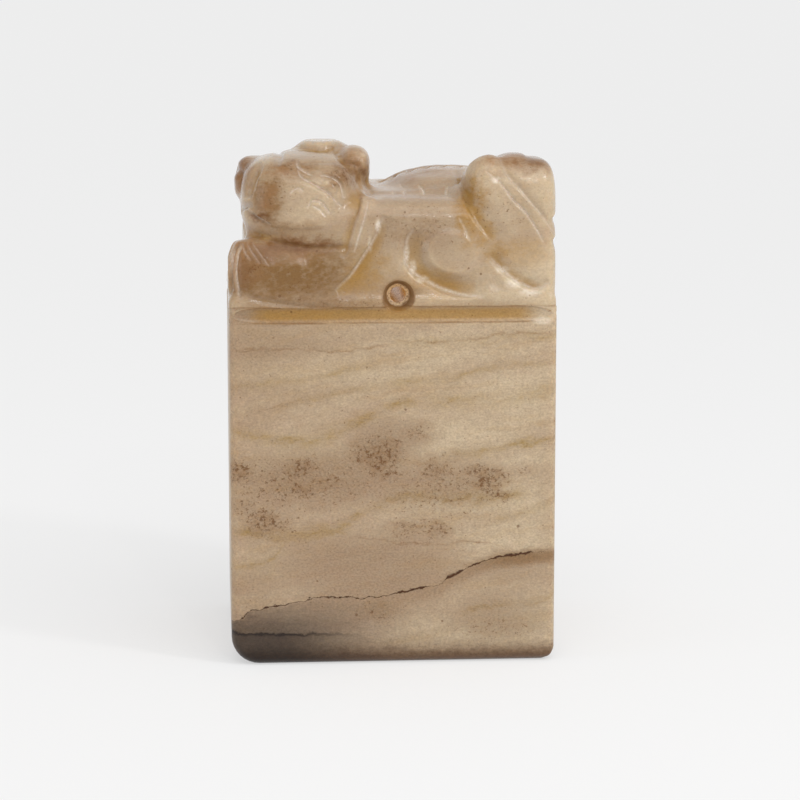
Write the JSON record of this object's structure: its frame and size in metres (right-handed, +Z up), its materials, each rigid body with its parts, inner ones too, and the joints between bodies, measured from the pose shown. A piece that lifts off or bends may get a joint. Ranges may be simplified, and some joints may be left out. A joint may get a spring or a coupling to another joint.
{
  "type": "seal stamp",
  "caption": "Upright block of polished stone with a recumbent beast carved on top as its knob and a raised spiral pattern cut into its underside for stamping.",
  "frame": {"origin": "middle of the seal face, on the plane that the seal stands on", "axes": "+Z up from the seal face to the knob, X along the beast with its chest at -X, -Y towards the viewer and the side that the beast's head turns to"},
  "size_m": [0.0326, 0.028, 0.0521],
  "materials": {
    "jade": "polished, waxy and slightly translucent, with honey and russet veins"
  },
  "bodies": {
    "root": {"seal_face": "jade", "seal_block": "jade", "waist": "jade", "torso": "jade", "neck_and_mane": "jade", "head": "jade", "crest": "jade", "left_ear": "jade", "right_ear": "jade", "near_foreleg": "jade", "far_foreleg": "jade", "near_hind_leg": "jade", "far_hind_leg": "jade", "tail_root": "jade", "tail_near_lock": "jade", "tail_middle_lock": "jade", "tail_upper_lock": "jade", "tail_far_lock": "jade"}
  },
  "joints": []
}
